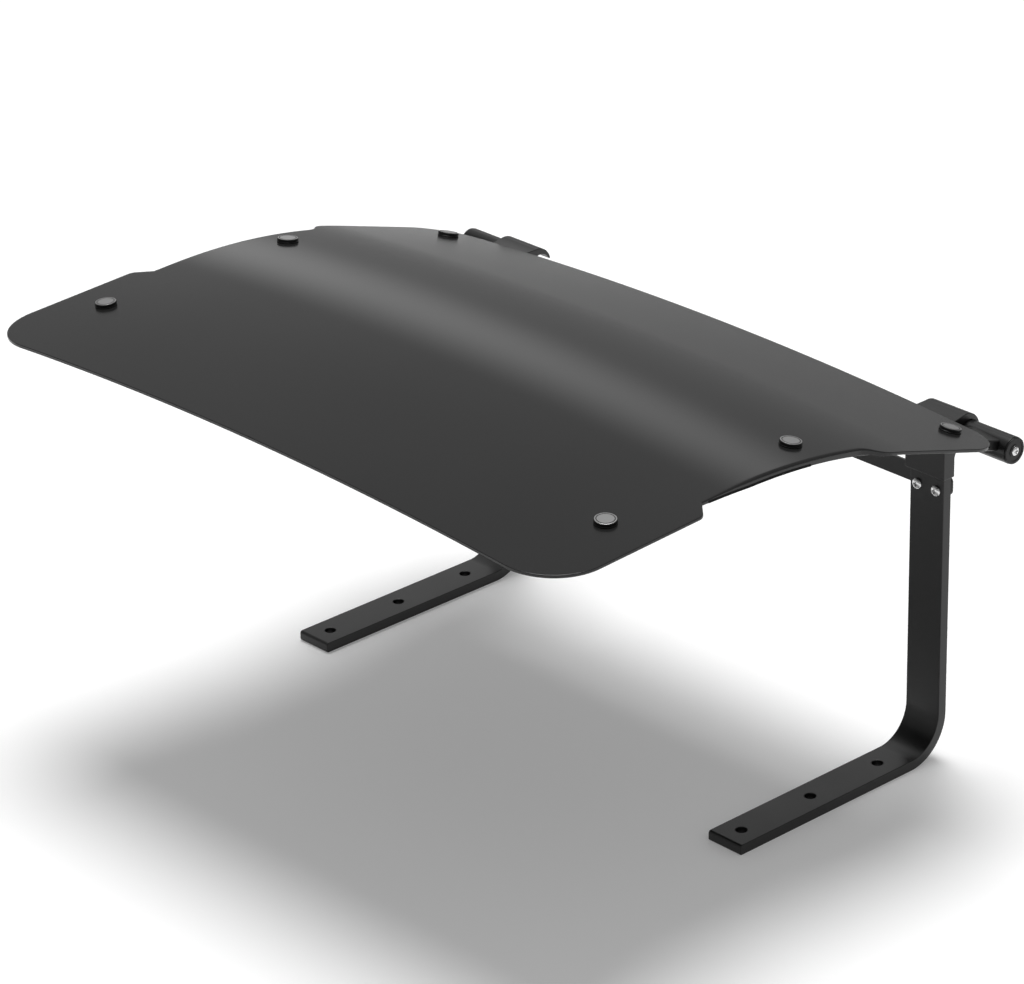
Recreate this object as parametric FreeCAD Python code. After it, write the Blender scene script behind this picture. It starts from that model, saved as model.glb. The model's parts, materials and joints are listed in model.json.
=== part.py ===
import FreeCAD, Part
import math
import os

from FreeCAD import Placement, Rotation, Vector

# A garden shelter for a small robot machine: a bent and slightly crowned roof sheet on two bent flat-bar legs.
# The roof swings up at its rear edge about two short tubes that lie in hook-shaped saddles on the legs.
# Sizes are in millimetres. While the pieces are made, Y counts from the front face of the legs and Z from the
# ground. At the end all of it moves along Y, so that the origin lies under the middle of the whole.

# Hinge line, which all heights of the roof, the saddles and the cross bar follow
tubeAxisBehind = 28.2       # behind the front face of the legs
tubeAxisHeight = 317.5      # above the ground

# Roof sheet
roofWidth = 746.0           # across the front wings
earInset = 2.0              # side of a rear ear, inside the side of a wing
waistInset = 15.7           # side of the waist between the notches, inside the side of a wing
sheet = 3.0                 # wall of the sheet
overhang = 549.5            # front edge, before the legs
rearLip = 3.5               # rear edge, behind the front face of the legs
roofOverTube = 24.2         # rear flat carried on along the middle, over the tubes' axis
bendAhead = 230.0           # line where the two flats would meet, before the legs
bendRadius = 640.0
frontSlope = 2.6            # degrees, the front flat rises towards the rear
rearSlope = 16.76           # degrees, the rear flat falls towards the rear
crownRadius = 4455.0        # side-to-side crown
frontCornerRadius = 55.0
rearCornerRadius = 44.0
wingEnd = 377.5             # rear end of the front wings, before the legs
stepRun = 14.0              # length of the step from wing to waist
stepRadius = 3.0            # rounding of the step at the wing
notchCornerRadius = 1.0     # and at the waist
notchEnd = 169.0            # rear end of the notches, before the legs
earRun = 12.5               # length over which the waist swings out to the ear
earRadius = 20.0

# Turned-down flange along each notch, and the soft strip pushed over its lower edge
flangeDrop = 6.6            # from the roof's top to the flange's lower edge
flangeWall = 4.0
flangeRunIn = 55.0          # length over which the flange reaches its full drop
trimHeight = 2.6
trimProud = 1.2
trimLength = 129.5
trimFrontGap = 8.0          # front end of the strip, behind the start of the notch

# Side arms under the roof sheet, of the same flat bar as the legs
armWidth = 38.0
armThickness = 10.0
armClear = 8.3              # room between an arm and the flange beside it
armFrontMargin = 20.0       # an arm reaches this far past its front knob
armEndRound = 8.0
seatGap = 0.05              # room between pieces that are fastened face to face

# Knobs that hold the roof sheet on its side arms, their studs screwed into the arms
knobsAhead = {"front": 443.5, "middle": 228.0, "rear": 27.5}
knobRadius = 10.0
knobHeight = 3.8
knobEdge = 0.8              # bevel round the knob's top
studRadius = 3.0
studClearance = 0.25        # in the roof sheet
threadGap = 0.05            # in the arm
studTail = 1.5              # stud showing past the arm

# Hinge tubes, their end plugs and the screws in them
tubeRadius = 12.7
tubeWall = 2.5
tubePast = 8.0              # outer end of a tube, past the arm
tubeSeatEnd = 2.5           # inner end of a tube, past the middle of its saddle
plugInset = 0.4             # edge of the plug, inside the edge of the tube
plugFlange = 2.0
plugSpigot = 14.0
plugFit = 0.05
plugScrewHead = 4.2
plugScrewRise = 1.6
plugScrewShank = 2.2
plugScrewLength = 12.0

# Legs
legWidth = 40.0
legThickness = 10.0
footReach = 256.5           # front end of the foot, before the front face of the legs
footBendRadius = 35.0       # inside of the bend
footEndRound = 4.0          # rounding of the foot's front end on top
footEndUnder = 2.0          # and at the ground
footHoleInset = 21.5        # front hole, behind the front end of the foot
footHoleRear = 59.0         # rear hole, before the legs; the third lies halfway
footHoleRadius = 5.25

# Saddles on the legs, with a hook over the hinge tube
saddleWidth = 47.0
saddleGap = 6.0             # room between a saddle and the arm beside it
saddleDrop = 36.5           # saddle's lower edge, under the tube's axis
saddleFront = 4.0           # metal before the leg
socketDepth = 24.0          # how far the leg's top reaches up into the saddle
hookRadius = 18.2           # outside of the hook
hookAhead = 4.2             # middle of that outside, before the tube's axis
hookLift = 2.0              # and over it
hookStart = 100.0           # degrees, where the saddle's flat top meets the hook
hookTip = 6.0               # lower edge of the hook's tip, over the tube's axis
tubeClearance = 0.3
stopGap = 0.3               # between the roof sheet and the saddle tops that it rests on
lipGap = 2.0                # behind the roof's rear edge
seatReach = 8.0             # lower seat runs this far past the leg's back
seatWall = 3.0

# Cross bar and the screws that hold it on the legs
barHeight = 18.0
barThickness = 3.0
barDrop = 11.8              # middle of the bar, under the saddles
barEndRound = 5.0
screwSpread = 22.4
screwDrop = 2.5             # screws, under the middle of the bar
screwHeadRadius = 5.2
screwHeadHeight = 3.2
screwHeadEdge = 0.9
screwShank = 3.0
screwFit = 0.25
legNutAcross = 10.0
legNutHeight = 3.2
screwTail = 0.8             # shank showing past its nut

toolPast = 20.0             # shapes that cut or trim reach this far past the work

# Places that follow from the sizes, for the right half, and heights
earSide = roofWidth / 2 - earInset
waistSide = roofWidth / 2 - waistInset
armOuter = waistSide - flangeWall - armClear
armMiddle = armOuter - armWidth / 2
legMiddle = armMiddle - armWidth / 2 - saddleGap - saddleWidth / 2
tubeOuter = armOuter + tubePast
tubeInner = legMiddle + tubeSeatEnd
notchStart = wingEnd - stepRun
earStart = notchEnd - earRun
bendHeight = tubeAxisHeight + roofOverTube + (bendAhead + tubeAxisBehind) * math.tan(math.radians(rearSlope))
saddleBottom = tubeAxisHeight - saddleDrop
legTop = saddleBottom + socketDepth
barMiddle = saddleBottom - barDrop
screwHeight = barMiddle - screwDrop
hookRear = tubeAxisBehind - hookAhead + math.sqrt(hookRadius ** 2 - (hookTip - hookLift) ** 2)
sides = (("left", -1), ("right", 1))


def line(a, b):
    return Part.LineSegment(a, b).toShape()


def roundedOutline(points):
    # Closed outline from (point, corner radius) pairs
    edges = []
    count = len(points)
    ends = []
    for i in range(count):
        corner, radius = points[i]
        before = (points[i - 1][0] - corner).normalize()
        after = (points[(i + 1) % count][0] - corner).normalize()
        if radius == 0:
            ends.append((corner, corner, None))
            continue
        half = before.getAngle(after) / 2
        run = radius / math.tan(half)
        middle = (before + after).normalize()
        top = corner + middle * (radius / math.sin(half) - radius)
        ends.append((corner + before * run, corner + after * run, top))
    for i in range(count):
        start, end, top = ends[i]
        if top is not None:
            edges.append(Part.Arc(start, top, end).toShape())
        following = ends[(i + 1) % count][0]
        if (following - end).Length > 1e-6:
            edges.append(line(end, following))
    return Part.Wire(edges)


def prism(points, direction):
    return Part.Face(roundedOutline(points)).extrude(direction)


def cylinder(radius, height, foot, direction):
    return Part.makeCylinder(radius, height, foot, direction)


# The roof's lengthwise line: two flats and the bend between them, at any depth below the top

def roofLine(depth):
    # Points of the line: front end, start, middle and end of the bend, rear end
    front = math.radians(frontSlope)
    rear = math.radians(rearSlope)
    run = bendRadius * math.tan((front + rear) / 2)
    corner = Vector(0, -bendAhead, bendHeight)
    start = corner - Vector(0, math.cos(front), math.sin(front)) * run
    center = start + Vector(0, math.sin(front), -math.cos(front)) * bendRadius
    radius = bendRadius - depth

    def onBend(angle):
        return center + Vector(0, math.sin(angle), math.cos(angle)) * radius

    first = onBend(-front)
    last = onBend(rear)
    frontRun = (first.y + overhang + toolPast) / math.cos(front)
    rearRun = (tubeAxisBehind - last.y) / math.cos(rear)
    frontEnd = first - Vector(0, math.cos(front), math.sin(front)) * frontRun
    rearEnd = last + Vector(0, math.cos(rear), -math.sin(rear)) * rearRun
    return frontEnd, first, onBend((rear - front) / 2), last, rearEnd


def roofTop(x, y):
    # Height of the roof's top at a place
    frontEnd, first, middle, last, rearEnd = roofLine(0)
    if y < first.y:
        height = first.z - (first.y - y) * math.tan(math.radians(frontSlope))
    elif y > last.y:
        height = last.z - (y - last.y) * math.tan(math.radians(rearSlope))
    else:
        front = math.radians(frontSlope)
        center = first + Vector(0, math.sin(front), -math.cos(front)) * bendRadius
        height = center.z + math.sqrt(bendRadius ** 2 - (y - center.y) ** 2)
    axis = bendHeight - crownRadius
    return axis + math.sqrt((height - axis) ** 2 - x ** 2)


def roofNormal(x, y):
    step = 0.5
    alongX = Vector(2 * step, 0, roofTop(x + step, y) - roofTop(x - step, y))
    alongY = Vector(0, 2 * step, roofTop(x, y + step) - roofTop(x, y - step))
    return alongX.cross(alongY).normalize()


def roofLayer(top, bottom):
    # Crowned layer between two depths below the roof's top, wider than the roof
    upper = roofLine(top)
    lower = roofLine(bottom)
    edges = []
    for a in (upper, lower):
        edges.append(line(a[0], a[1]))
        edges.append(Part.Arc(a[1], a[2], a[3]).toShape())
        edges.append(line(a[3], a[4]))
    edges.append(line(upper[0], lower[0]))
    edges.append(line(upper[4], lower[4]))
    face = Part.Face(Part.Wire(Part.__sortEdges__(edges)))
    axisPoint = Vector(0, 0, bendHeight - crownRadius)
    half = math.degrees(math.asin((roofWidth / 2 + toolPast) / crownRadius))
    face.rotate(axisPoint, Vector(0, 1, 0), -half)
    return face.revolve(axisPoint, Vector(0, 1, 0), 2 * half)


def planColumn(points):
    # Upright column on an outline drawn from above, through the whole roof
    grounded = [(Vector(x, y, 0), radius) for x, y, radius in points]
    return prism(grounded, Vector(0, 0, bendHeight + toolPast))


def rightOutline(inset):
    # Right half of the roof's outline from above, from rear to front, or a line inside it
    return [
        (earSide - inset, rearLip - inset, rearCornerRadius - inset),
        (earSide - inset, -earStart, earRadius - inset),
        (waistSide - inset, -notchEnd, earRadius + inset),
        (waistSide - inset, -notchStart, notchCornerRadius),
        (roofWidth / 2 - inset, -wingEnd, stepRadius),
        (roofWidth / 2 - inset, -overhang + inset, frontCornerRadius - inset),
    ]


def roofOutline(inset):
    right = rightOutline(inset)
    left = [(-x, y, radius) for x, y, radius in reversed(right)]
    return right + left


def notchBand(side, inner, outer):
    # Turned-down band along one notch, between two insets from the roof's side
    earTurn = earRadius * math.tan(math.atan2(earSide - waistSide, earRun) / 2)
    fullEnd = -notchEnd - earTurn
    rearEnd = -earStart + earTurn
    fullStart = -notchStart + flangeRunIn
    low = roofTop(waistSide, -notchStart) - sheet
    under = low - flangeDrop
    band = planColumn(roofOutline(inner)).cut(planColumn(roofOutline(outer)))
    stretch = [(0, -notchStart, 0), (side * roofWidth, -notchStart, 0), (side * roofWidth, rearEnd, 0),
               (0, rearEnd, 0)]
    band = band.common(planColumn(stretch)).common(roofLayer(0, flangeDrop))
    # The lower edge starts level with the sheet, runs down to its full drop and fades again into the ear
    runIn = [(Vector(-roofWidth, -notchStart, low), 0),
             (Vector(-roofWidth, fullStart, roofTop(waistSide, fullStart) - flangeDrop), 0),
             (Vector(-roofWidth, fullStart, under), 0),
             (Vector(-roofWidth, -notchStart, under), 0)]
    runOut = [(Vector(-roofWidth, fullEnd, roofTop(waistSide, fullEnd) - flangeDrop), 0),
              (Vector(-roofWidth, rearEnd, roofTop(earSide, rearEnd) - sheet), 0),
              (Vector(-roofWidth, rearEnd, 0), 0),
              (Vector(-roofWidth, fullEnd, 0), 0)]
    for wedge in (runIn, runOut):
        band = band.cut(prism(wedge, Vector(2 * roofWidth, 0, 0)))
    return band


def knobPlaces():
    for sideName, side in sides:
        for rowName, ahead in knobsAhead.items():
            yield sideName, rowName, side * armMiddle, -ahead


def standOnRoof(shape, x, y):
    # Move a piece modelled upright at the origin so that it stands on the roof
    placed = shape.copy()
    placed.Placement = Placement(Vector(x, y, roofTop(x, y)), Rotation(Vector(0, 0, 1), roofNormal(x, y)))
    return placed


def drilled(shape, radius):
    reach = sheet + armThickness + toolPast
    bore = cylinder(radius, 2 * reach, Vector(0, 0, -reach), Vector(0, 0, 1))
    for sideName, rowName, x, y in knobPlaces():
        shape = shape.cut(standOnRoof(bore, x, y))
    return shape


def roofPanel():
    panel = roofLayer(0, sheet).common(planColumn(roofOutline(0)))
    for sideName, side in sides:
        panel = panel.fuse(notchBand(side, 0, flangeWall))
    return drilled(panel.removeSplitter(), studRadius + studClearance)


def sideArm(side):
    inner = armOuter - armWidth
    start = -knobsAhead["front"] - armFrontMargin
    strip = [(side * inner, start, armEndRound), (side * armOuter, start, armEndRound),
             (side * armOuter, tubeAxisBehind, 0), (side * inner, tubeAxisBehind, 0)]
    top = sheet + seatGap
    arm = roofLayer(top, top + armThickness).common(planColumn(strip))
    tube = cylinder(tubeRadius + seatGap, roofWidth / 2, Vector(0, tubeAxisBehind, tubeAxisHeight),
                    Vector(side, 0, 0))
    return drilled(arm.cut(tube), studRadius + threadGap)


def turned(points, foot, along):
    # Solid turned about an axis, from (distance from the axis, distance along it) pairs
    corners = [Vector(radius, 0, height) for radius, height in points]
    edges = [line(corners[i], corners[(i + 1) % len(corners)]) for i in range(len(corners))]
    solid = Part.Face(Part.Wire(edges)).revolve(Vector(0, 0, 0), Vector(0, 0, 1), 360)
    solid.Placement = Placement(foot, Rotation(Vector(0, 0, 1), along))
    return solid


def knob():
    depth = sheet + armThickness + studTail
    top = seatGap + knobHeight
    profile = [(0, top), (knobRadius - knobEdge, top), (knobRadius, top - knobEdge), (knobRadius, seatGap),
               (studRadius, seatGap), (studRadius, -depth), (0, -depth)]
    return turned(profile, Vector(0, 0, 0), Vector(0, 0, 1))


def hexNut(across, height, bore):
    corner = across / math.sqrt(3)
    points = [(Vector(corner, 0, 0), 0)]
    for i in range(1, 6):
        turn = math.radians(60 * i)
        points.append((Vector(corner * math.cos(turn), corner * math.sin(turn), 0), 0))
    nut = prism(points, Vector(0, 0, height))
    return nut.cut(cylinder(bore, height, Vector(0, 0, 0), Vector(0, 0, 1)))


def edgeTrim(side):
    # Strip over the lower part of the flange's outer face
    strip = notchBand(side, -trimProud, 0)
    above = strip.copy()
    above.translate(Vector(0, 0, trimHeight))
    front = -notchStart + trimFrontGap
    stretch = [(0, front, 0), (side * roofWidth, front, 0), (side * roofWidth, front + trimLength, 0),
               (0, front + trimLength, 0)]
    return strip.cut(above).common(planColumn(stretch))


def hingeTube(side):
    inner = Vector(side * tubeInner, tubeAxisBehind, tubeAxisHeight)
    length = tubeOuter - tubeInner
    along = Vector(side, 0, 0)
    tube = cylinder(tubeRadius, length, inner, along)
    return tube.cut(cylinder(tubeRadius - tubeWall, length, inner, along))


def tubePlug(side):
    bore = plugScrewShank + plugFit
    spigot = tubeRadius - tubeWall - plugFit
    edge = tubeRadius - plugInset
    profile = [(bore, plugFlange), (edge, plugFlange), (edge, 0), (spigot, 0), (spigot, -plugSpigot),
               (bore, -plugSpigot)]
    return turned(profile, Vector(side * tubeOuter, tubeAxisBehind, tubeAxisHeight), Vector(side, 0, 0))


def screw(head, shank, foot, along):
    # Screw with its seat at its foot, its head ahead of it and its shank behind
    headRadius, rise, edge = head
    radius, length = shank
    profile = [(0, rise), (headRadius - edge, rise), (headRadius, rise - edge), (headRadius, 0), (radius, 0),
               (radius, -length), (0, -length)]
    return turned(profile, foot, along)


def placed(shape, foot, direction):
    copy = shape.copy()
    copy.Placement = Placement(foot, Rotation(Vector(0, 0, 1), direction))
    return copy


def leg(side):
    x = side * legMiddle
    left = x - legWidth / 2
    profile = [
        (Vector(left, 0, legTop), 0),
        (Vector(left, legThickness, legTop), 0),
        (Vector(left, legThickness, 0), footBendRadius + legThickness),
        (Vector(left, -footReach, 0), footEndUnder),
        (Vector(left, -footReach, legThickness), footEndRound),
        (Vector(left, 0, legThickness), footBendRadius),
    ]
    bar = prism(profile, Vector(legWidth, 0, 0))
    firstHole = footReach - footHoleInset
    for ahead in (firstHole, (firstHole + footHoleRear) / 2, footHoleRear):
        bar = bar.cut(cylinder(footHoleRadius, legThickness, Vector(x, -ahead, 0), Vector(0, 0, 1)))
    for offset in (-screwSpread / 2, screwSpread / 2):
        bar = bar.cut(cylinder(screwShank + screwFit, legThickness, Vector(x + offset, 0, screwHeight),
                               Vector(0, 1, 0)))
    return bar


def saddle(side):
    # Profile across the tube, drawn in the plane of the saddle's left face
    left = side * legMiddle - saddleWidth / 2
    axis = Vector(left, tubeAxisBehind, tubeAxisHeight)
    inner = tubeRadius + tubeClearance
    hookCenter = axis + Vector(0, -hookAhead, hookLift)
    ledgeEnd = rearLip + lipGap
    ledge = roofTop(legMiddle - saddleWidth / 2, ledgeEnd) - sheet
    top = roofTop(legMiddle - saddleWidth / 2, -saddleFront)

    def onHook(angle):
        turn = math.radians(angle)
        return hookCenter + Vector(0, math.cos(turn), math.sin(turn)) * hookRadius

    def onBore(angle):
        turn = math.radians(angle)
        return axis + Vector(0, math.cos(turn), math.sin(turn)) * inner

    tipOutside = math.degrees(math.asin((hookTip - hookLift) / hookRadius))
    tipInside = math.degrees(math.asin(hookTip / inner))
    seatEnd = 180 + math.degrees(math.acos((tubeAxisBehind - legThickness - seatReach) / inner))
    seatLow = onBore(seatEnd) - Vector(0, 0, seatWall)
    flareFoot = Vector(left, legThickness, seatLow.z - seatReach)
    flareCenter = Vector(left, seatLow.y, flareFoot.z)
    flareMiddle = flareCenter + Vector(0, -1, 1).normalize() * seatReach
    front = Vector(left, -saddleFront, saddleBottom)
    edges = [
        line(front, Vector(left, -saddleFront, top)),
        line(Vector(left, -saddleFront, top), Vector(left, ledgeEnd, top)),
        line(Vector(left, ledgeEnd, top), Vector(left, ledgeEnd, ledge)),
        line(Vector(left, ledgeEnd, ledge), onHook(hookStart)),
        Part.Arc(onHook(hookStart), onHook((hookStart + tipOutside) / 2), onHook(tipOutside)).toShape(),
        line(onHook(tipOutside), onBore(tipInside)),
        Part.Arc(onBore(tipInside), onBore((tipInside + seatEnd) / 2), onBore(seatEnd)).toShape(),
        line(onBore(seatEnd), seatLow),
        Part.Arc(seatLow, flareMiddle, flareFoot).toShape(),
        line(flareFoot, Vector(left, legThickness, saddleBottom)),
        line(Vector(left, legThickness, saddleBottom), front),
    ]
    body = Part.Face(Part.Wire(edges)).extrude(Vector(saddleWidth, 0, 0))
    # The top under the roof follows the sheet, and a socket takes the top of the leg
    underRoof = [(-roofWidth, -overhang, 0), (roofWidth, -overhang, 0), (roofWidth, ledgeEnd, 0),
                 (-roofWidth, ledgeEnd, 0)]
    above = roofLayer(-toolPast, sheet + stopGap).common(planColumn(underRoof))
    socket = Part.makeBox(legWidth + 2 * seatGap, legThickness + seatGap, socketDepth + seatGap,
                          Vector(side * legMiddle - legWidth / 2 - seatGap, -seatGap, saddleBottom))
    return body.cut(above).cut(socket)


def crossBar():
    half = legMiddle + legWidth / 2
    low = barMiddle - barHeight / 2
    high = barMiddle + barHeight / 2
    y = legThickness
    outline = [(Vector(-half, y, low), barEndRound), (Vector(half, y, low), barEndRound),
               (Vector(half, y, high), barEndRound), (Vector(-half, y, high), barEndRound)]
    bar = prism(outline, Vector(0, barThickness, 0))
    for sideName, side in sides:
        for offset in (-screwSpread / 2, screwSpread / 2):
            bar = bar.cut(cylinder(screwShank + screwFit, barThickness,
                                   Vector(side * legMiddle + offset, y, screwHeight), Vector(0, 1, 0)))
    return bar


def build():
    nodes = {"roof_panel": roofPanel(), "cross_bar": crossBar()}
    for sideName, rowName, x, y in knobPlaces():
        nodes["knob_%s_%s" % (sideName, rowName)] = standOnRoof(knob(), x, y)
    nut = hexNut(legNutAcross, legNutHeight, screwShank + seatGap)
    legHead = (screwHeadRadius, screwHeadHeight, screwHeadEdge)
    legShank = (screwShank, legThickness + barThickness + legNutHeight + screwTail)
    plugHead = (plugScrewHead, plugScrewRise, plugScrewRise / 2)
    plugShank = (plugScrewShank, plugScrewLength)
    for sideName, side in sides:
        nodes["leg_" + sideName] = leg(side)
        nodes["saddle_" + sideName] = saddle(side)
        nodes["side_arm_" + sideName] = sideArm(side)
        nodes["edge_trim_" + sideName] = edgeTrim(side)
        nodes["hinge_tube_" + sideName] = hingeTube(side)
        nodes["tube_plug_" + sideName] = tubePlug(side)
        plugFace = Vector(side * (tubeOuter + plugFlange), tubeAxisBehind, tubeAxisHeight)
        nodes["plug_screw_" + sideName] = screw(plugHead, plugShank, plugFace, Vector(side, 0, 0))
        for place, offset in (("inner", -side * screwSpread / 2), ("outer", side * screwSpread / 2)):
            x = side * legMiddle + offset
            tail = Vector(x, legThickness + barThickness, screwHeight)
            nodes["leg_screw_%s_%s" % (sideName, place)] = screw(legHead, legShank, Vector(x, 0, screwHeight),
                                                                 Vector(0, -1, 0))
            nodes["leg_nut_%s_%s" % (sideName, place)] = placed(nut, tail, Vector(0, 1, 0))
    return nodes


def main():
    os.makedirs("parts", exist_ok=True)
    middle = (max(hookRear, tubeAxisBehind + tubeRadius) - overhang) / 2
    for name, shape in build().items():
        shape.translate(Vector(0, -middle, 0))
        shape.exportStep("parts/%s.step" % name)
        print(name, len(shape.Solids), round(shape.Volume / 1000, 2), "cm3", shape.isValid())


main()
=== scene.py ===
import json
import math

import bmesh
import bpy
from mathutils import Matrix, Vector


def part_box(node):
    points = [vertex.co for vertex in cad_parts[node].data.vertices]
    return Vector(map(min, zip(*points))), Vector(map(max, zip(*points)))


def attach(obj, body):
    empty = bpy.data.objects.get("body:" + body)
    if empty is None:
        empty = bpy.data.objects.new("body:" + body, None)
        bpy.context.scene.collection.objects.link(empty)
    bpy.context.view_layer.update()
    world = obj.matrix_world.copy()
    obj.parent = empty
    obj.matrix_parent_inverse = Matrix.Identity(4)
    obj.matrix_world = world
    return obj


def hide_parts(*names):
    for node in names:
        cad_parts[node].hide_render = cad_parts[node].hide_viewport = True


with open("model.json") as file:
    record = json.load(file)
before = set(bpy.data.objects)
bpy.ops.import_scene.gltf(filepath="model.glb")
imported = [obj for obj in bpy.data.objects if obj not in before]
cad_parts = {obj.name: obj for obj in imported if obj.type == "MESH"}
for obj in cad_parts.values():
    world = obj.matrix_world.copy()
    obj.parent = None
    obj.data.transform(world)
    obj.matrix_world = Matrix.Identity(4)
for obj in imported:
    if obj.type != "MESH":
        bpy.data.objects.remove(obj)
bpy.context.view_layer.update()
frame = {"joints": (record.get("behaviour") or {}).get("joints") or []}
print("frame loaded")

hinge = Vector(frame["joints"][0]["pos_m"])     # on the axis of the two hinge tubes
sides = (("left", -1), ("right", 1))
near = 0.0001       # what is closer than this to a place lies on it
double = 0.00001    # vertices closer than this are one
past = 0.01         # tools that cut reach this far past the work
flatFacing = 0.9    # a face looks along an axis when this much of its normal lies along it


# Handling of meshes

def deselect():
    bpy.ops.object.select_all(action="DESELECT")


def newest(name):
    piece = bpy.context.object
    piece.name = name
    bpy.ops.object.transform_apply(location=True, rotation=True, scale=True)
    return piece


def startEdit(piece):
    deselect()
    piece.select_set(True)
    bpy.context.view_layer.objects.active = piece
    bpy.ops.object.mode_set(mode="EDIT")


def endEdit():
    bpy.ops.object.mode_set(mode="OBJECT")


def middleOf(element):
    if isinstance(element, bmesh.types.BMVert):
        return element.co.copy()
    total = Vector((0, 0, 0))
    for vertex in element.verts:
        total += vertex.co
    return total / len(element.verts)


def pick(kind, test):
    # In edit mode: selects only the vertices, edges or faces that pass the test
    bpy.ops.mesh.select_mode(type=kind)
    bpy.ops.mesh.select_all(action="DESELECT")
    mesh = bmesh.from_edit_mesh(bpy.context.edit_object.data)
    for element in {"VERT": mesh.verts, "EDGE": mesh.edges, "FACE": mesh.faces}[kind]:
        if test(element):
            element.select_set(True)
    bmesh.update_edit_mesh(bpy.context.edit_object.data)


def move(step):
    bpy.ops.transform.translate(value=step)


def extrude(step):
    bpy.ops.mesh.extrude_region_move(TRANSFORM_OT_translate={"value": step})


def apply(piece, kind, **settings):
    modifier = piece.modifiers.new(kind.title(), kind)
    for name, value in settings.items():
        setattr(modifier, name, value)
    deselect()
    piece.select_set(True)
    bpy.context.view_layer.objects.active = piece
    bpy.ops.object.modifier_apply(modifier=modifier.name)


def bevelSharp(piece, width, segments, angle=60):
    apply(piece, "BEVEL", width=width, segments=segments, limit_method="ANGLE",
          angle_limit=math.radians(angle), use_clamp_overlap=False)


def combine(piece, tool, operation):
    apply(piece, "BOOLEAN", object=tool, operation=operation, solver="EXACT")
    bpy.data.objects.remove(tool)


def cleaned(piece):
    # Merges doubles and turns all faces outwards
    startEdit(piece)
    bpy.ops.mesh.select_all(action="SELECT")
    bpy.ops.mesh.remove_doubles(threshold=double)
    bpy.ops.mesh.normals_make_consistent(inside=False)
    endEdit()
    return piece


def trace(name, points):
    # A line drawn by extruding one vertex from point to point
    deselect()
    bpy.ops.mesh.primitive_plane_add(size=0.01, location=points[0])
    piece = newest(name)
    startEdit(piece)
    bpy.ops.mesh.select_mode(type="VERT")
    bpy.ops.mesh.select_all(action="SELECT")
    bpy.ops.mesh.merge(type="CENTER")
    for start, end in zip(points, points[1:]):
        extrude(Vector(end) - Vector(start))
    endEdit()
    return piece


def arc(center, radius, start, end, steps):
    # Points round the X axis, with angles in degrees from +Y towards +Z
    points = []
    for i in range(steps + 1):
        turn = math.radians(start + (end - start) * i / steps)
        points.append(center + Vector((0, math.cos(turn), math.sin(turn))) * radius)
    return points


def outlineSolid(name, points, rounded, width):
    # A side profile, some corners rounded as (corner, radius), made a solid across X about its own plane
    fewest, perMetre = 4, 450
    piece = trace(name, points + points[:1])
    startEdit(piece)
    bpy.ops.mesh.select_all(action="SELECT")
    bpy.ops.mesh.remove_doubles(threshold=double)
    bpy.ops.mesh.select_all(action="SELECT")
    bpy.ops.mesh.edge_face_add()
    for corner, radius in rounded:
        pick("VERT", lambda vertex: (vertex.co - corner).length < near)
        bpy.ops.mesh.bevel(offset=radius, offset_type="OFFSET", segments=max(fewest, int(radius * perMetre)),
                           profile=0.5, affect="VERTICES", clamp_overlap=False)
    endEdit()
    apply(piece, "SOLIDIFY", thickness=width, offset=0)
    return cleaned(piece)


def turnedSolid(name, profile, steps):
    # (distance from the Z axis, height) pairs, spun round the Z axis
    piece = trace(name, [Vector((radius, 0, height)) for radius, height in profile])
    startEdit(piece)
    bpy.ops.mesh.select_all(action="SELECT")
    bpy.ops.mesh.spin(steps=steps, angle=2 * math.pi, center=(0, 0, 0), axis=(0, 0, 1))
    endEdit()
    return cleaned(piece)


def rod(name, radius, start, end, steps):
    deselect()
    along = Vector(end) - Vector(start)
    turn = along.to_track_quat("Z", "Y").to_euler()
    bpy.ops.mesh.primitive_cylinder_add(vertices=steps, radius=radius, depth=along.length,
                                        location=(Vector(start) + Vector(end)) / 2, rotation=turn)
    return newest(name)


def block(name, low, high):
    deselect()
    low, high = Vector(low), Vector(high)
    bpy.ops.mesh.primitive_cube_add(size=1, location=(low + high) / 2, scale=high - low)
    return newest(name)


def copyTo(piece, name, place, along):
    # A copy with its own mesh, its Z axis turned to a direction and its foot at a place
    copy = piece.copy()
    copy.data = piece.data.copy()
    copy.name = name
    bpy.context.collection.objects.link(copy)
    turn = Vector(along).to_track_quat("Z", "Y").to_matrix().to_4x4()
    copy.data.transform(Matrix.Translation(place) @ turn)
    return copy


# Shader nodes

class Wire:
    # A shader socket that takes part in plain arithmetic
    def __init__(self, finish, socket):
        self.finish = finish
        self.socket = socket

    def combined(self, operation, first, second):
        return self.finish.wire("ShaderNodeMath", {"operation": operation}, {0: first, 1: second})

    def __add__(self, other):
        return self.combined("ADD", self, other)

    def __radd__(self, other):
        return self.combined("ADD", other, self)

    def __sub__(self, other):
        return self.combined("SUBTRACT", self, other)

    def __mul__(self, other):
        return self.combined("MULTIPLY", self, other)


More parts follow.
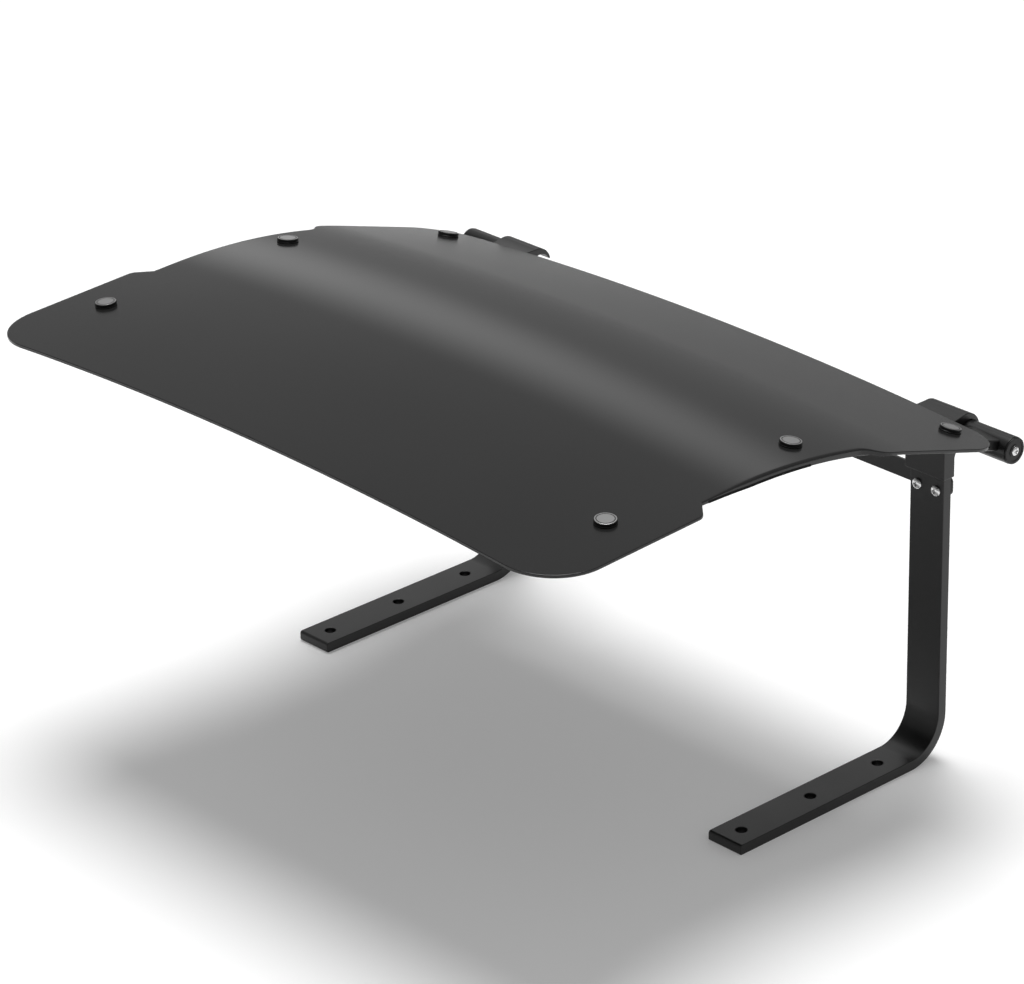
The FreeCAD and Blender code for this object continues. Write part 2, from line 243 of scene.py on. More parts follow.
class Finish:
    # The nodes of one material, or of the world
    def __init__(self, name, world=None):
        self.material = world or bpy.data.materials.new(name)
        self.material.use_nodes = True
        self.tree = self.material.node_tree
        self.shader = self.tree.nodes["Background" if world else "Principled BSDF"]

    def node(self, kind, settings=None, inputs=None):
        made = self.tree.nodes.new(kind)
        for name, value in (settings or {}).items():
            setattr(made, name, value)
        for name, value in (inputs or {}).items():
            self.feed(made.inputs[name], value)
        return made

    def feed(self, socket, value):
        if isinstance(value, Wire):
            value = value.socket
        if isinstance(value, bpy.types.NodeSocket):
            self.tree.links.new(value, socket)
        else:
            socket.default_value = value

    def wire(self, kind, settings=None, inputs=None, output=0):
        return Wire(self, self.node(kind, settings, inputs).outputs[output])

    def seen(self):
        # 1 where the camera, a reflection or a refraction looks, 0 for the light that falls on things
        path = self.node("ShaderNodeLightPath").outputs
        return Wire(self, path["Is Camera Ray"]) + Wire(self, path["Is Glossy Ray"]) \
            + Wire(self, path["Is Transmission Ray"])

    def place(self):
        return self.node("ShaderNodeTexCoord").outputs["Object"]

    def noise(self, scale, detail):
        return self.wire("ShaderNodeTexNoise", {},
                         {"Vector": self.place(), "Scale": scale, "Detail": detail, "Roughness": 0.5})

    def blend(self, mask, first, second):
        # Inputs 6 and 7 and output 2 of this node are its colours
        made = self.node("ShaderNodeMix", {"data_type": "RGBA"}, {"Factor": mask})
        self.feed(made.inputs[6], first)
        self.feed(made.inputs[7], second)
        return made.outputs[2]

    def bump(self, height, strength, distance):
        return self.node("ShaderNodeBump", {}, {"Height": height, "Strength": strength,
                                                "Distance": distance}).outputs["Normal"]

    def surface(self, **inputs):
        for name, value in inputs.items():
            self.feed(self.shader.inputs[name.replace("_", " ")], value)
        return self.material


def grey(level):
    return (level, level, level, 1)


def roofSheetFinish():
    # Charcoal sheet with a satin gloss, its gloss and colour a little uneven
    look = {"dark": 0.0125, "light": 0.0145, "rough": 0.19, "roughSpread": 0.03, "specular": 0.4,
            "patches": 5, "patchDetail": 1, "ripple": 240, "rippleDetail": 0, "rippleHeight": 0.00001,
            "bump": 0.2}
    finish = Finish("charcoalSheet")
    patches = finish.noise(look["patches"], look["patchDetail"])
    ripple = finish.noise(look["ripple"], look["rippleDetail"])
    finish.shader.inputs["Specular IOR Level"].default_value = look["specular"]
    return finish.surface(Base_Color=finish.blend(patches, grey(look["dark"]), grey(look["light"])),
                          Roughness=look["rough"] + (patches - 0.5) * look["roughSpread"],
                          Normal=finish.bump(ripple, look["bump"], look["rippleHeight"]))


def blackSteelFinish():
    # Fine powder coat on steel
    look = {"dark": 0.002, "light": 0.0045, "rough": 0.35, "roughSpread": 0.1, "specular": 0.48,
            "patches": 18, "patchDetail": 4, "grain": 1400, "grainDetail": 2, "grainHeight": 0.00005,
            "bump": 0.5}
    finish = Finish("powderCoatedSteel")
    patches = finish.noise(look["patches"], look["patchDetail"])
    grain = finish.noise(look["grain"], look["grainDetail"])
    finish.shader.inputs["Specular IOR Level"].default_value = look["specular"]
    return finish.surface(Base_Color=finish.blend(patches, grey(look["dark"]), grey(look["light"])),
                          Roughness=look["rough"] + (patches - 0.5) * look["roughSpread"],
                          Normal=finish.bump(grain, look["bump"], look["grainHeight"]))


def grainedFinish(name, look):
    # One fine grain moves colour, gloss and surface together
    finish = Finish(name)
    grain = finish.noise(look["grain"], look["detail"])
    finish.shader.inputs["Metallic"].default_value = look["metallic"]
    finish.shader.inputs["Specular IOR Level"].default_value = look["specular"]
    return finish.surface(Base_Color=finish.blend(grain, grey(look["dark"]), grey(look["light"])),
                          Roughness=look["rough"] + (grain - 0.5) * look["roughSpread"],
                          Normal=finish.bump(grain, look["bump"], look["grainHeight"]))


roofSheetLook = roofSheetFinish()
blackSteelLook = blackSteelFinish()
blackPlasticLook = grainedFinish("mouldedBlack", {
    "dark": 0.005, "light": 0.009, "rough": 0.4, "roughSpread": 0.1, "metallic": 0, "specular": 0.3,
    "grain": 2200, "detail": 2, "bump": 0.4, "grainHeight": 0.00003})
knobTopLook = grainedFinish("satinKnobFace", {
    "dark": 0.34, "light": 0.42, "rough": 0.3, "roughSpread": 0.1, "metallic": 0.85, "specular": 0.5,
    "grain": 1600, "detail": 2, "bump": 0.3, "grainHeight": 0.00002})
softTrimLook = grainedFinish("softBlackTrim", {
    "dark": 0.002, "light": 0.004, "rough": 0.7, "roughSpread": 0.1, "metallic": 0, "specular": 0.2,
    "grain": 1800, "detail": 2, "bump": 0.4, "grainHeight": 0.00004})
zincLook = grainedFinish("brightZinc", {
    "dark": 0.6, "light": 0.8, "rough": 0.2, "roughSpread": 0.15, "metallic": 1, "specular": 0.5,
    "grain": 900, "detail": 3, "bump": 0.2, "grainHeight": 0.00003})
print("finishes ready")


def finishPiece(piece, body, look, nodes, smoothAngle=35):
    deselect()
    piece.select_set(True)
    bpy.context.view_layer.objects.active = piece
    bpy.ops.object.shade_smooth_by_angle(angle=math.radians(smoothAngle))
    apply(piece, "WEIGHTED_NORMAL", keep_sharp=True)
    if not piece.data.materials:
        piece.data.materials.append(look)
    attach(piece, body)
    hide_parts(*nodes)
    deselect()


# Form of the roof: two flats with a round bend between them, and a slight crown across

roof = {
    "width": 0.746,             # across the front wings
    "earInset": 0.002,
    "waistInset": 0.0157,
    "sheet": 0.003,
    "legFront": 0.0282,         # front face of the legs, before the hinge axis
    "overhang": 0.5495,         # these lengths run forward from the front face of the legs
    "rearLip": 0.0035,
    "overHinge": 0.02405,
    "bendAhead": 0.230,
    "bendRadius": 0.640,
    "frontSlope": math.radians(2.6),
    "rearSlope": math.radians(16.76),
    "crownRadius": 4.455,
    "frontCorner": 0.055,
    "rearCorner": 0.044,
    "wingEnd": 0.3775,
    "stepRun": 0.014,
    "stepRadius": 0.009,
    "notchCorner": 0.001,
    "notchEnd": 0.169,
    "earRun": 0.0125,
    "earRadius": 0.020,
    "flangeDrop": 0.0066,
    "flangeWall": 0.004,
    "flangeRunIn": 0.055,
    "edgeRound": 0.0007,
    "flangeRound": 0.0024,
    "roundFade": 0.03,          # over this length the flange's wide rounding narrows to the edge's
    "rowSpacing": 0.007,
    "cornerSteps": 60,
    "columns": 30,
}
legFront = hinge.y - roof["legFront"]
earSide = roof["width"] / 2 - roof["earInset"]
waistSide = roof["width"] / 2 - roof["waistInset"]
notchStart = legFront - roof["wingEnd"] + roof["stepRun"]
notchEnd = legFront - roof["notchEnd"]
earStart = notchEnd + roof["earRun"]
bendLine = legFront - roof["bendAhead"]
bendHeight = hinge.z + roof["overHinge"] + (hinge.y - bendLine) * math.tan(roof["rearSlope"])
bendRun = roof["bendRadius"] * math.tan((roof["frontSlope"] + roof["rearSlope"]) / 2)
bendStart = bendLine - bendRun * math.cos(roof["frontSlope"])
bendEnd = bendLine + bendRun * math.cos(roof["rearSlope"])
bendCenter = bendStart + roof["bendRadius"] * math.sin(roof["frontSlope"])


def roofSlope(y):
    # Downward slope towards the rear, in radians
    return math.asin((min(max(y, bendStart), bendEnd) - bendCenter) / roof["bendRadius"])


def roofTop(x, y):
    startHeight = bendHeight - bendRun * math.sin(roof["frontSlope"])
    centerHeight = startHeight - roof["bendRadius"] * math.cos(roof["frontSlope"])
    onBend = min(max(y, bendStart), bendEnd)
    height = centerHeight + math.sqrt(roof["bendRadius"] ** 2 - (onBend - bendCenter) ** 2)
    height -= (y - onBend) * math.tan(roofSlope(y))
    axis = bendHeight - roof["crownRadius"]
    return axis + math.sqrt((height - axis) ** 2 - x ** 2)


def roofNormal(x, y):
    step = 0.0005
    alongX = Vector((2 * step, 0, roofTop(x + step, y) - roofTop(x - step, y)))
    alongY = Vector((0, 2 * step, roofTop(x, y + step) - roofTop(x, y - step)))
    return alongX.cross(alongY).normalized()


def flangeDepth(y):
    # How far the flange's lower edge lies below the roof's top
    earTurn = roof["earRadius"] * math.tan(math.atan2(earSide - waistSide, roof["earRun"]) / 2)
    runIn = min(max((y - notchStart) / roof["flangeRunIn"], 0), 1)
    runOut = min(max((earStart + earTurn - y) / (roof["earRun"] + 2 * earTurn), 0), 1)
    return roof["sheet"] + (roof["flangeDrop"] - roof["sheet"]) * min(runIn, runOut)


def bendDown(piece, depthAt):
    # Lays a flat piece on the roof's form: z below 0 is a depth under the roof's top
    for vertex in piece.data.vertices:
        x, y, z = vertex.co
        vertex.co.z = roofTop(x, y) - depthAt(x, y, -z) / math.cos(roofSlope(y))
    piece.data.update()


def roundedRun(corners, spacing, cornerSteps):
    # Points along a line with rounded corners, each corner (x, y, radius), spaced closely on long stretches
    points = []
    last = None
    for i in range(1, len(corners) - 1):
        corner = Vector(corners[i][:2])
        before = (Vector(corners[i - 1][:2]) - corner).normalized()
        after = (Vector(corners[i + 1][:2]) - corner).normalized()
        half = before.angle(after) / 2
        radius = corners[i][2]
        run = radius / math.tan(half)
        center = corner + (before + after).normalized() * radius / math.sin(half)
        first = corner + before * run - center
        sweep = first.angle_signed(corner + after * run - center)
        steps = max(2, round(abs(sweep) * math.sqrt(radius) * cornerSteps))
        if last is not None:
            gap = center + first - last
            count = int(gap.length / spacing)
            points += [last + gap * k / (count + 1) for k in range(1, count + 1)]
        for k in range(steps + 1):
            points.append(center + first.copy().to_2d() @ Matrix.Rotation(sweep * k / steps, 2))
        last = points[-1]
    return points


def roofPanel():
    # A grid whose rows follow the side outline, thickened, with the flange drawn down along each notch
    columns = roof["columns"]
    half = roof["width"] / 2
    front = legFront - roof["overhang"]
    rear = legFront + roof["rearLip"]
    outline = roundedRun([(0, front, 0), (half, front, roof["frontCorner"]),
                          (half, legFront - roof["wingEnd"], roof["stepRadius"]),
                          (waistSide, notchStart, roof["notchCorner"]),
                          (waistSide, notchEnd, roof["earRadius"]),
                          (earSide, earStart, roof["earRadius"]),
                          (earSide, rear, roof["rearCorner"]), (0, rear, 0)],
                         roof["rowSpacing"], roof["cornerSteps"])
    deselect()
    bpy.ops.mesh.primitive_grid_add(x_subdivisions=columns, y_subdivisions=len(outline) - 1, size=1)
    panel = newest("roofPanel")
    inner = columns - 2
    for row, (side, y) in enumerate(outline):
        for column in range(columns + 1):
            vertex = panel.data.vertices[row * (columns + 1) + column]
            share = (column - 1) / inner * 2 - 1
            x = (side - roof["flangeWall"]) * share
            if column in (0, columns):
                x = side * (1 if column else -1)
            vertex.co = (x, y, 0)
    apply(panel, "SOLIDIFY", thickness=roof["sheet"], offset=-1)
    startEdit(panel)
    lowest = -roof["sheet"]
    rimStart = waistSide - roof["flangeWall"]
    earEnd = earStart + roof["earRadius"] / 2
    pick("FACE", lambda face: abs(middleOf(face).z - lowest) < near and abs(face.normal.z) > flatFacing
         and notchStart < middleOf(face).y < earEnd and abs(middleOf(face).x) > rimStart)
    extrude((0, 0, roof["sheet"] - roof["flangeDrop"]))
    endEdit()
    cleaned(panel)

    sharp = math.radians(60)

    def roundingAt(edge):
        # Rounded rim: soft along the notches, tighter elsewhere
        if len(edge.link_faces) != 2 or edge.calc_face_angle() < sharp:
            return 0
        middle = middleOf(edge)
        if middle.z > -near and notchStart < middle.y < earStart:
            grown = min((middle.y - notchStart) / roof["flangeRunIn"], 1)
            faded = min((earStart - middle.y) / roof["roundFade"], 1)
            return roof["edgeRound"] + (roof["flangeRound"] - roof["edgeRound"]) * min(grown, faded)
        return roof["edgeRound"]

    mesh = bmesh.new()
    mesh.from_mesh(panel.data)
    weight = mesh.edges.layers.float.new("bevel_weight_edge")
    for edge in mesh.edges:
        edge[weight] = roundingAt(edge) / roof["flangeRound"]
    mesh.to_mesh(panel.data)
    mesh.free()
    apply(panel, "BEVEL", width=roof["flangeRound"], segments=4, limit_method="WEIGHT",
          use_clamp_overlap=False)

    def depthAt(x, y, depth):
        if depth <= roof["sheet"]:
            return depth
        share = (depth - roof["sheet"]) / (roof["flangeDrop"] - roof["sheet"])
        return roof["sheet"] + share * (flangeDepth(y) - roof["sheet"])

    bendDown(panel, depthAt)
    finishPiece(panel, "roof", roofSheetLook, ["roof_panel"], smoothAngle=50)


roofPanel()
print("roof panel ready")


# Soft strips on the lower edges of the flanges

def edgeTrims():
    strip = {"height": 0.0021, "proud": 0.0005, "length": 0.1215, "frontGap": 0.0075, "round": 0.0002,
             "groove": 0.0003, "grooveLines": (0.42, 0.5, 0.58), "steps": 24}
    start = notchStart + strip["frontGap"]
    for sideName, side in sides:
        ends = sorted((side * waistSide, side * (waistSide + strip["proud"])))
        trim = block("edgeTrim" + sideName.title(), (ends[0], start, 0),
                     (ends[1], start + strip["length"], strip["height"]))
        startEdit(trim)
        for i in range(1, strip["steps"]):
            bpy.ops.mesh.select_all(action="SELECT")
            cut = start + strip["length"] * i / strip["steps"]
            bpy.ops.mesh.bisect(plane_co=(0, cut, 0), plane_no=(0, 1, 0))
        for share in strip["grooveLines"]:
            bpy.ops.mesh.select_all(action="SELECT")
            bpy.ops.mesh.bisect(plane_co=(0, 0, strip["height"] * share), plane_no=(0, 0, 1))
        # A fine groove along the middle of the strip
        pick("VERT", lambda vertex: abs(vertex.co.z - strip["height"] / 2) < near
             and abs(vertex.co.x) > waistSide + strip["proud"] / 2)
        move((-side * strip["groove"], 0, 0))
        endEdit()
        bevelSharp(trim, strip["round"], 2)
        for vertex in trim.data.vertices:
            x, y, z = vertex.co
            vertex.co.z = roofTop(x, y) - (flangeDepth(y) - z) / math.cos(roofSlope(y))
        finishPiece(trim, "roof", softTrimLook, ["edge_trim_" + sideName])


edgeTrims()
print("edge trims ready")


# Side arms under the roof

def sideArms():
    arm = {"thickness": 0.010, "gap": 0.00005, "round": 0.0016, "endRound": 0.008, "steps": 40,
           "tubeRadius": 0.01275, "tubeSteps": 96}
    for sideName, side in sides:
        low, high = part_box("side_arm_" + sideName)
        depth = roof["sheet"] + arm["gap"]
        bar = block("sideArm" + sideName.title(), (low.x, low.y, -depth - arm["thickness"]),
                    (high.x, hinge.y, -depth))
        startEdit(bar)
        pick("EDGE", lambda edge: abs(middleOf(edge).y - low.y) < near
             and abs(edge.verts[0].co.z - edge.verts[1].co.z) > near)
        bpy.ops.mesh.bevel(offset=arm["endRound"], segments=8, affect="EDGES", clamp_overlap=False)
        endEdit()
        bevelSharp(bar, arm["round"], 3)
        startEdit(bar)
        for i in range(1, arm["steps"]):
            bpy.ops.mesh.select_all(action="SELECT")
            cut = low.y + (hinge.y - low.y) * i / arm["steps"]
            bpy.ops.mesh.bisect(plane_co=(0, cut, 0), plane_no=(0, 1, 0))
        endEdit()
        bendDown(bar, lambda x, y, depth: depth)
        tool = rod("armTool", arm["tubeRadius"], (low.x - past, hinge.y, hinge.z),
                   (high.x + past, hinge.y, hinge.z), arm["tubeSteps"])
        combine(bar, tool, "DIFFERENCE")
        finishPiece(bar, "roof", blackSteelLook, ["side_arm_" + sideName])


sideArms()
print("side arms ready")


# Knobs

def knobs():
    shape = {"foot": 0.0102, "footHeight": 0.0010, "groove": 0.0095, "grooveHeight": 0.0005, "cap": 0.010,
             "height": 0.00385, "round": 0.0008, "roundSteps": 4, "lip": 0.0003, "draft": 0.0001,
             "ring": 0.0083, "ringWidth": 0.0007, "ringDepth": 0.0004, "stud": 0.003, "studDepth": 0.0145,
             "gap": 0.00005, "steps": 64}
    foot, lip, draft, bend = shape["foot"], shape["lip"], shape["draft"], shape["round"]
    footTop = shape["footHeight"]
    capStart = footTop + shape["grooveHeight"]
    top = shape["height"]
    ringFloor = top - shape["ringDepth"]
    ringInside = shape["ring"] - shape["ringWidth"]
    profile = [(0, -shape["studDepth"]), (shape["stud"], -shape["studDepth"]), (shape["stud"], shape["gap"]),
               (foot - lip, shape["gap"]), (foot, shape["gap"] + lip), (foot, footTop - lip),
               (foot - lip, footTop), (shape["groove"], footTop + draft), (shape["groove"], capStart - draft),
               (shape["cap"] - lip, capStart), (shape["cap"], capStart + lip)]
    for i in range(shape["roundSteps"] + 1):
        turn = math.radians(90 * i / shape["roundSteps"])
        profile.append((shape["cap"] - bend + bend * math.cos(turn), top - bend + bend * math.sin(turn)))
    profile += [(shape["ring"], top), (shape["ring"] - draft, ringFloor), (ringInside, ringFloor),
                (ringInside - draft, top), (0, top)]
    master = turnedSolid("knobMaster", profile, shape["steps"])
    master.data.materials.append(blackPlasticLook)
    master.data.materials.append(knobTopLook)
    for face in master.data.polygons:
        if face.center.z > top - near and face.normal.z > flatFacing:
            face.material_index = 1
    for sideName, side in sides:
        for rowName in ("front", "middle", "rear"):
            node = "knob_%s_%s" % (sideName, rowName)
            low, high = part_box(node)
            center = (low + high) / 2
            # The box's middle lies under the roof, so the knob's seat is found back along the normal
            normal = roofNormal(center.x, center.y)
            depth = (roofTop(center.x, center.y) - center.z) * normal.z
            seat = center + normal * depth
            seat.z = roofTop(seat.x, seat.y)
            knob = copyTo(master, "knob%s%s" % (sideName.title(), rowName.title()), seat, normal)
            finishPiece(knob, "roof", blackPlasticLook, [node], smoothAngle=30)
    bpy.data.objects.remove(master)


knobs()
print("knobs ready")


# Hinge tubes with their plugs

def hingeTubes():
    tube = {"radius": 0.0127, "wall": 0.0025, "round": 0.0005, "plug": 0.0123, "plugRound": 0.0006,
            "rim": 0.002, "ring": 0.0035, "recess": 0.0004, "steps": 96}
    for sideName, side in sides:
        low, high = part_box("hinge_tube_" + sideName)
        inner, outer = (high.x, low.x) if side < 0 else (low.x, high.x)
        pipe = rod("hingeTube" + sideName.title(), tube["radius"], (inner, hinge.y, hinge.z),
                   (outer, hinge.y, hinge.z), tube["steps"])
        startEdit(pipe)
        pick("FACE", lambda face: abs(middleOf(face).x - inner) < near and abs(face.normal.x) > flatFacing)
        bpy.ops.mesh.inset(thickness=tube["wall"])
        extrude((outer - inner - side * tube["wall"], 0, 0))
        endEdit()
        bevelSharp(pipe, tube["round"], 2)
        finishPiece(cleaned(pipe), "roof", blackSteelLook, ["hinge_tube_" + sideName])
        low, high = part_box("tube_plug_" + sideName)
        face = low.x if side < 0 else high.x
        plug = rod("tubePlug" + sideName.title(), tube["plug"], (outer, hinge.y, hinge.z),
                   (face, hinge.y, hinge.z), tube["steps"])
        bevelSharp(plug, tube["plugRound"], 3)
        # A sunk ring in the plug's round face, the only face there with more than four corners
        startEdit(plug)
        pick("FACE", lambda polygon: abs(middleOf(polygon).x - face) < near and len(polygon.verts) > 4)
        bpy.ops.mesh.inset(thickness=tube["rim"])
        extrude((-side * tube["recess"], 0, 0))
        bpy.ops.mesh.inset(thickness=tube["ring"])
        extrude((side * tube["recess"], 0, 0))
        endEdit()
        finishPiece(cleaned(plug), "roof", blackPlasticLook, ["tube_plug_" + sideName])


hingeTubes()
print("hinge tubes ready")


# Legs

def legs():
    bar = {"thickness": 0.010, "bend": 0.035, "endTop": 0.0028, "endUnder": 0.002, "round": 0.0007,
           "hole": 0.00525, "holeSteps": 48, "holesAhead": (0.235, 0.147, 0.059), "rim": 0.0009}
    for sideName, side in sides:
        low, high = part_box("leg_" + sideName)
        x = (low.x + high.x) / 2

        def at(y, z):
            return Vector((x, y, z))

        outerBend = at(high.y, 0)
        innerBend = at(legFront, bar["thickness"])
        endLow = at(low.y, 0)
        endHigh = at(low.y, bar["thickness"])
        points = [at(legFront, high.z), at(high.y, high.z), outerBend, endLow, endHigh, innerBend]
        rounded = [(outerBend, bar["bend"] + bar["thickness"]), (innerBend, bar["bend"]),
                   (endLow, bar["endUnder"]), (endHigh, bar["endTop"])]
        leg = outlineSolid("leg" + sideName.title(), points, rounded, high.x - low.x)
        bevelSharp(leg, bar["round"], 3)
        for ahead in bar["holesAhead"]:
            y = legFront - ahead
            tool = rod("legTool", bar["hole"], at(y, -past), at(y, bar["thickness"] + past), bar["holeSteps"])
            combine(leg, tool, "DIFFERENCE")

        def onHoleRim(edge):
            first, second = (vertex.co for vertex in edge.verts)
            return abs(first.z - second.z) < near and any(
                math.hypot(first.x - x, first.y - legFront + ahead) < bar["hole"] + near
                for ahead in bar["holesAhead"])

        startEdit(leg)
        pick("EDGE", onHoleRim)
        bpy.ops.mesh.bevel(offset=bar["rim"], segments=2, affect="EDGES", clamp_overlap=False)
        endEdit()
        finishPiece(leg, "stand", blackSteelLook, ["leg_" + sideName])


legs()
print("legs ready")


# Saddles with their hooks

def saddles():
    shape = {"front": 0.004, "back": 0.010, "bore": 0.0130, "hook": 0.0182, "hookAhead": 0.0042,
             "hookLift": 0.002, "hookStart": 100, "tip": 0.006, "seatReach": 0.008, "seatWall": 0.003,
             "lipGap": 0.002, "stopGap": 0.0003, "round": 0.0007, "seatSteps": 24, "flareSteps": 8,
             "hookSteps": 20}
    hookCenter = hinge + Vector((0, -shape["hookAhead"], shape["hookLift"]))
    tipOutside = math.degrees(math.asin((shape["tip"] - shape["hookLift"]) / shape["hook"]))
    tipInside = math.degrees(math.asin(shape["tip"] / shape["bore"]))
    seatAhead = roof["legFront"] - shape["back"] - shape["seatReach"]
    seatEnd = 180 + math.degrees(math.acos(seatAhead / shape["bore"]))
    for sideName, side in sides:
        low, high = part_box("saddle_" + sideName)
        across = Vector(((low.x + high.x) / 2, 0, 0))
        front = legFront - shape["front"]
        back = legFront + shape["back"]
        ledgeEnd = legFront + roof["rearLip"] + shape["lipGap"]

        def underRoof(y):
            return roofTop(across.x, y) - (roof["sheet"] + shape["stopGap"]) / math.cos(roofSlope(y))

        seat = arc(hinge + across, shape["bore"], tipInside, seatEnd, shape["seatSteps"])
        seatLow = seat[-1] - Vector((0, 0, shape["seatWall"]))
        flare = arc(seatLow - Vector((0, 0, shape["seatReach"])), shape["seatReach"], 90, 180,
                    shape["flareSteps"])
        points = [Vector((across.x, front, low.z)), Vector((across.x, front, underRoof(front))),
                  Vector((across.x, ledgeEnd, underRoof(ledgeEnd)))]
        points += arc(hookCenter + across, shape["hook"], shape["hookStart"], tipOutside, shape["hookSteps"])
        points += seat + flare + [Vector((across.x, back, low.z))]
        saddle = outlineSolid("saddle" + sideName.title(), points, [], high.x - low.x)
        bevelSharp(saddle, shape["round"], 3, angle=40)
        for vertex in saddle.data.vertices:
            # The ledge and its rounded end follow the roof's crown
            if vertex.co.y < ledgeEnd + 2 * shape["round"] and vertex.co.z > hinge.z:
                vertex.co.z += roofTop(vertex.co.x, vertex.co.y) - roofTop(across.x, vertex.co.y)
        finishPiece(saddle, "stand", blackSteelLook, ["saddle_" + sideName])


saddles()
print("saddles ready")


# Cross bar behind the legs

def crossBar():
    shape = {"corner": 0.005, "round": 0.0005}
    low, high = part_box("cross_bar")
    bar = block("crossBar", low, high)
    startEdit(bar)
    pick("EDGE", lambda edge: abs(edge.verts[0].co.y - edge.verts[1].co.y) > near)
    bpy.ops.mesh.bevel(offset=shape["corner"], segments=6, affect="EDGES", clamp_overlap=False)
    endEdit()
    bevelSharp(bar, shape["round"], 2)
    finishPiece(bar, "stand", blackSteelLook, ["cross_bar"])


crossBar()
print("cross bar ready")


# Screws and nuts

# Shares of the head's rise for its side and recess, and of the recess's size for its slots
headForm = {"side": 0.3, "recessDepth": 0.75, "slot": 0.32, "domeSteps": 8, "steps": 48}


def crossTool(size, depth, height):
    # Cross that cuts a screw's recess
    slot = size * headForm["slot"]
    blades = []
    for width, length in ((slot, size), (size, slot)):
        low = (-width / 2, -length / 2, height - depth)
        blades.append(block("crossTool", low, (width / 2, length / 2, height + past)))
    combine(blades[0], blades[1], "UNION")
    return blades[0]


def panScrew(name, shape):
    # Screw with its seat at z = 0 and a domed head
    head, rise, shank = shape["head"], shape["rise"], shape["shank"]
    side = rise * headForm["side"]
    steps = headForm["domeSteps"]
    profile = [(0, -shape["length"]), (shank, -shape["length"]), (shank, 0), (head, 0), (head, side)]
    for i in range(1, steps + 1):
        turn = math.radians(90 * i / steps)
        profile.append((head * math.cos(turn), side + (rise - side) * math.sin(turn)))
    screw = turnedSolid(name, profile, headForm["steps"])
    combine(screw, crossTool(shape["recess"], rise * headForm["recessDepth"], rise), "DIFFERENCE")
    return screw


def hexagonNut(name, shape):
    corner = shape["across"] / math.sqrt(3)
    height = shape["height"]
    deselect()
    bpy.ops.mesh.primitive_cylinder_add(vertices=6, radius=corner, depth=height, location=(0, 0, height / 2))
    nut = newest(name)
    lens = turnedSolid("nutTool", [(0, -past), (corner, -past), (corner, height - shape["bevel"]),
                                   (corner - shape["bevelReach"], height), (0, height)], shape["steps"])
    combine(nut, lens, "INTERSECT")
    startEdit(nut)
    pick("FACE", lambda face: middleOf(face).z > height - near and face.normal.z > flatFacing)
    bpy.ops.mesh.inset(thickness=shape["rim"])
    endEdit()
    return nut


def screwsAndNuts():
    leg = {"head": 0.0052, "rise": 0.0032, "shank": 0.003, "length": 0.017, "recess": 0.0054}
    plug = {"head": 0.0042, "rise": 0.0016, "shank": 0.0022, "length": 0.008, "recess": 0.0046}
    nut = {"across": 0.010, "height": 0.0032, "bevel": 0.0006, "bevelReach": 0.0012, "rim": 0.0009,
           "steps": 48}
    master = panScrew("screwMaster", leg)
    nutMaster = hexagonNut("nutMaster", nut)
    for sideName, side in sides:
        for placeName in ("inner", "outer"):
            label = sideName.title() + placeName.title()
            node = "leg_screw_%s_%s" % (sideName, placeName)
            low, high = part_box(node)
            seat = Vector(((low.x + high.x) / 2, legFront, (low.z + high.z) / 2))
            screw = copyTo(master, "legScrew" + label, seat, (0, -1, 0))
            finishPiece(screw, "stand", zincLook, [node])
            node = "leg_nut_%s_%s" % (sideName, placeName)
            low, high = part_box(node)
            nutPiece = copyTo(nutMaster, "legNut" + label, Vector((seat.x, low.y, seat.z)), (0, 1, 0))
            finishPiece(nutPiece, "stand", zincLook, [node])
    plugMaster = panScrew("plugScrewMaster", plug)
    for sideName, side in sides:
        low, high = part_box("tube_plug_" + sideName)
        face = Vector((low.x if side < 0 else high.x, hinge.y, hinge.z))
        screw = copyTo(plugMaster, "plugScrew" + sideName.title(), face, (side, 0, 0))
        finishPiece(screw, "roof", zincLook, ["plug_screw_" + sideName])
    for piece in (master, nutMaster, plugMaster):
        bpy.data.objects.remove(piece)


screwsAndNuts()
print("screws and nuts ready")


# Stage, light and camera

def stage():
    # White floor that fades to the grey of the surround further out
    look = {"near": 0.86, "far": 0.29, "rough": 0.9, "glow": 0.16, "fadeStart": 2.15, "fadeEnd": 2.85}
    span = 40
    deselect()
    bpy.ops.mesh.primitive_plane_add(size=span)
    floor = newest("floor")
    finish = Finish("paleFloor")
    away = finish.wire("ShaderNodeVectorMath", {"operation": "LENGTH"}, {0: finish.place()}, 1)
    fade = finish.wire("ShaderNodeMapRange", {"interpolation_type": "SMOOTHSTEP"},
                       {"Value": away, "From Min": look["fadeStart"], "From Max": look["fadeEnd"]})
    finish.surface(Base_Color=finish.blend(fade, grey(look["near"]), grey(look["far"])),
                   Roughness=look["rough"])
    glow = finish.node("ShaderNodeEmission", {}, {"Color": finish.blend(fade, grey(1), grey(0)),
                                                  "Strength": finish.seen() * look["glow"]})
    both = finish.node("ShaderNodeAddShader", {}, {0: finish.shader.outputs[0], 1: glow.outputs[0]})
    output = finish.tree.nodes["Material Output"]
    finish.tree.links.new(both.outputs[0], output.inputs["Surface"])
    floor.data.materials.append(finish.material)


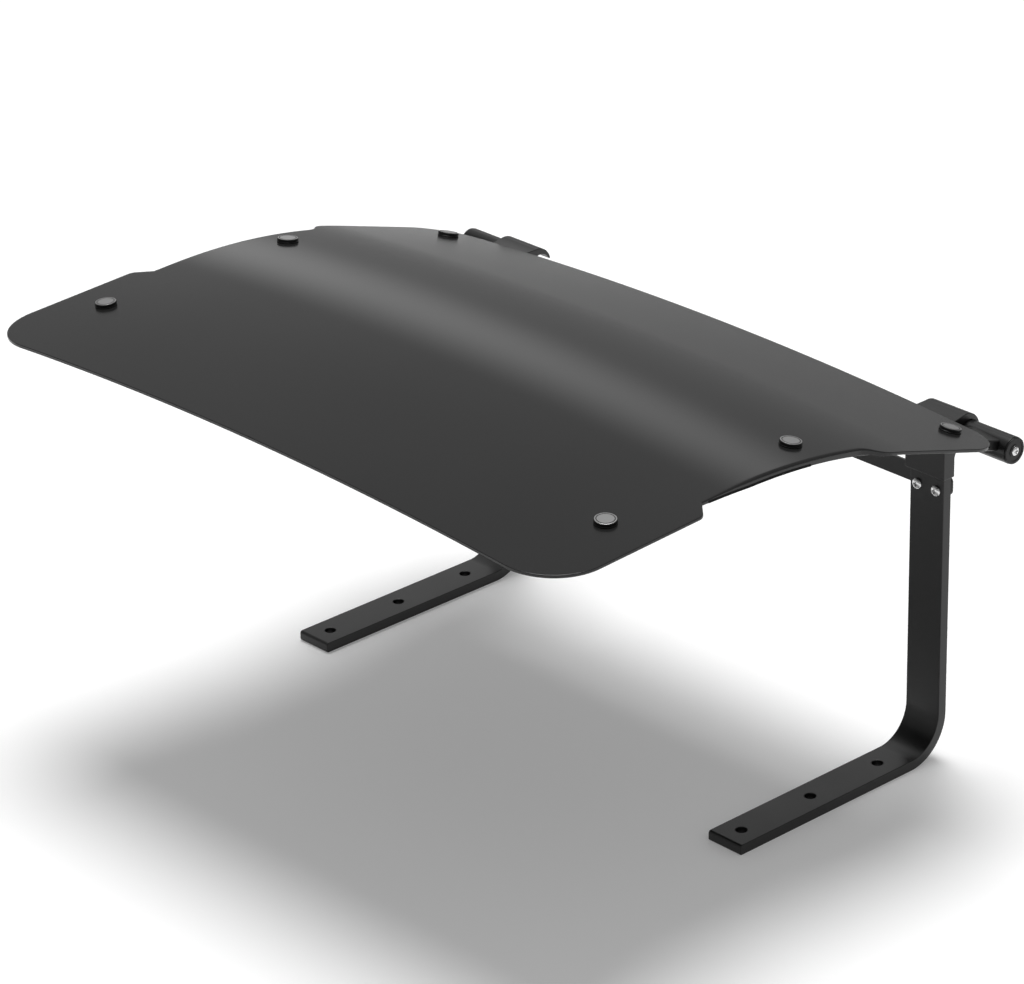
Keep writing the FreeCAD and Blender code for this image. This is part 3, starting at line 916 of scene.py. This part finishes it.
def lights():
    # A wide soft light overhead, slanted strips that show along the bend, and an even grey surround
    key = {"from": (-0.19, 0.19, 1), "spread": 27, "strength": 2.6}
    strip = {"toward": (-0.683, 0.652, 0.330), "distance": 5, "along": (0.637, 0.328, 0.697), "length": 3.4,
             "widths": (0.4, 0.75, 1.1), "gap": 0.02, "powerPerArea": 0.78}
    surround = 0.33
    world = bpy.data.worlds.new("studio")
    Finish("studio", world).surface(Color=grey(1), Strength=surround)
    bpy.context.scene.world = world
    deselect()
    bpy.ops.object.light_add(type="SUN", location=(0, 0, 4))
    lamp = bpy.context.object
    lamp.name = "keyLight"
    lamp.data.energy = key["strength"]
    lamp.data.angle = math.radians(key["spread"])
    lamp.rotation_euler = (-Vector(key["from"])).to_track_quat("-Z", "Y").to_euler()
    outward = Vector(strip["toward"]).normalized()
    across = outward.cross(Vector(strip["along"])).normalized()
    turn = Matrix((across.cross(outward), across, outward)).transposed().to_euler()
    for i, width in enumerate(strip["widths"]):
        place = Vector((0, bendCenter, bendHeight)) + outward * (strip["distance"] + strip["gap"] * i)
        bpy.ops.object.light_add(type="AREA", location=place)
        lamp = bpy.context.object
        lamp.name = "bendStrip"
        lamp.data.shape = "RECTANGLE"
        lamp.data.size = strip["length"]
        lamp.data.size_y = width
        lamp.data.energy = strip["powerPerArea"] * strip["length"] * width
        lamp.rotation_euler = turn


def camera():
    view = {"place": (2.775, -2.5321, 2.007), "yaw": 47.55, "pitch": 25.01, "roll": -1.18, "lens": 162.03,
            "sensor": 36, "farthest": 100}
    yaw, pitch, roll = (math.radians(view[name]) for name in ("yaw", "pitch", "roll"))
    forward = Vector((-math.sin(yaw) * math.cos(pitch), math.cos(yaw) * math.cos(pitch), -math.sin(pitch)))
    right = Vector((math.cos(yaw), math.sin(yaw), 0))
    up = right.cross(forward)
    rolledRight = right * math.cos(roll) + up * math.sin(roll)
    rolledUp = up * math.cos(roll) - right * math.sin(roll)
    bpy.ops.object.camera_add(location=view["place"])
    eye = bpy.context.object
    eye.rotation_euler = Matrix((rolledRight, rolledUp, -forward)).transposed().to_euler()
    eye.data.sensor_width = view["sensor"]
    eye.data.lens = view["lens"]
    eye.data.clip_end = view["farthest"]
    bpy.context.scene.camera = eye


stage()
lights()
camera()
bpy.context.scene.view_settings.view_transform = "Standard"
print("stage ready")
